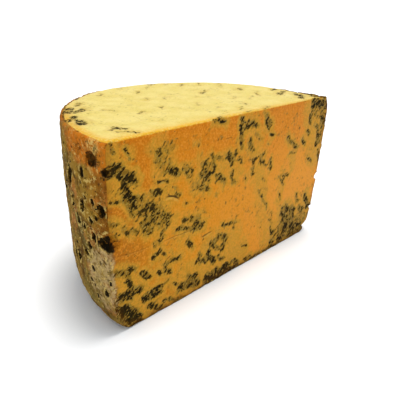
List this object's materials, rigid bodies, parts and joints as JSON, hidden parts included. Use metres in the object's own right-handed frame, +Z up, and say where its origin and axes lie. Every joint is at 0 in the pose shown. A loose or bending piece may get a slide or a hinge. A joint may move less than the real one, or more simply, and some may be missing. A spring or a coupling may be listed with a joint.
{
  "type": "blue-veined cheese half moon",
  "caption": "Half-round block of orange blue-veined cheese with flat cut faces and a grown rind round the back and base.",
  "frame": {"origin": "middle of the footprint, at the height of the resting base", "axes": "+Z up, +X along the upright cut face, -Y out of the upright cut face, +Y towards the rind's round back"},
  "size_m": [0.1968, 0.1, 0.102],
  "materials": {
    "cheese": "satin moist paste on the cuts, dull mould-ripened rind round the back and base"
  },
  "bodies": {
    "root": {"cheese_wedge": "cheese"}
  },
  "joints": []
}
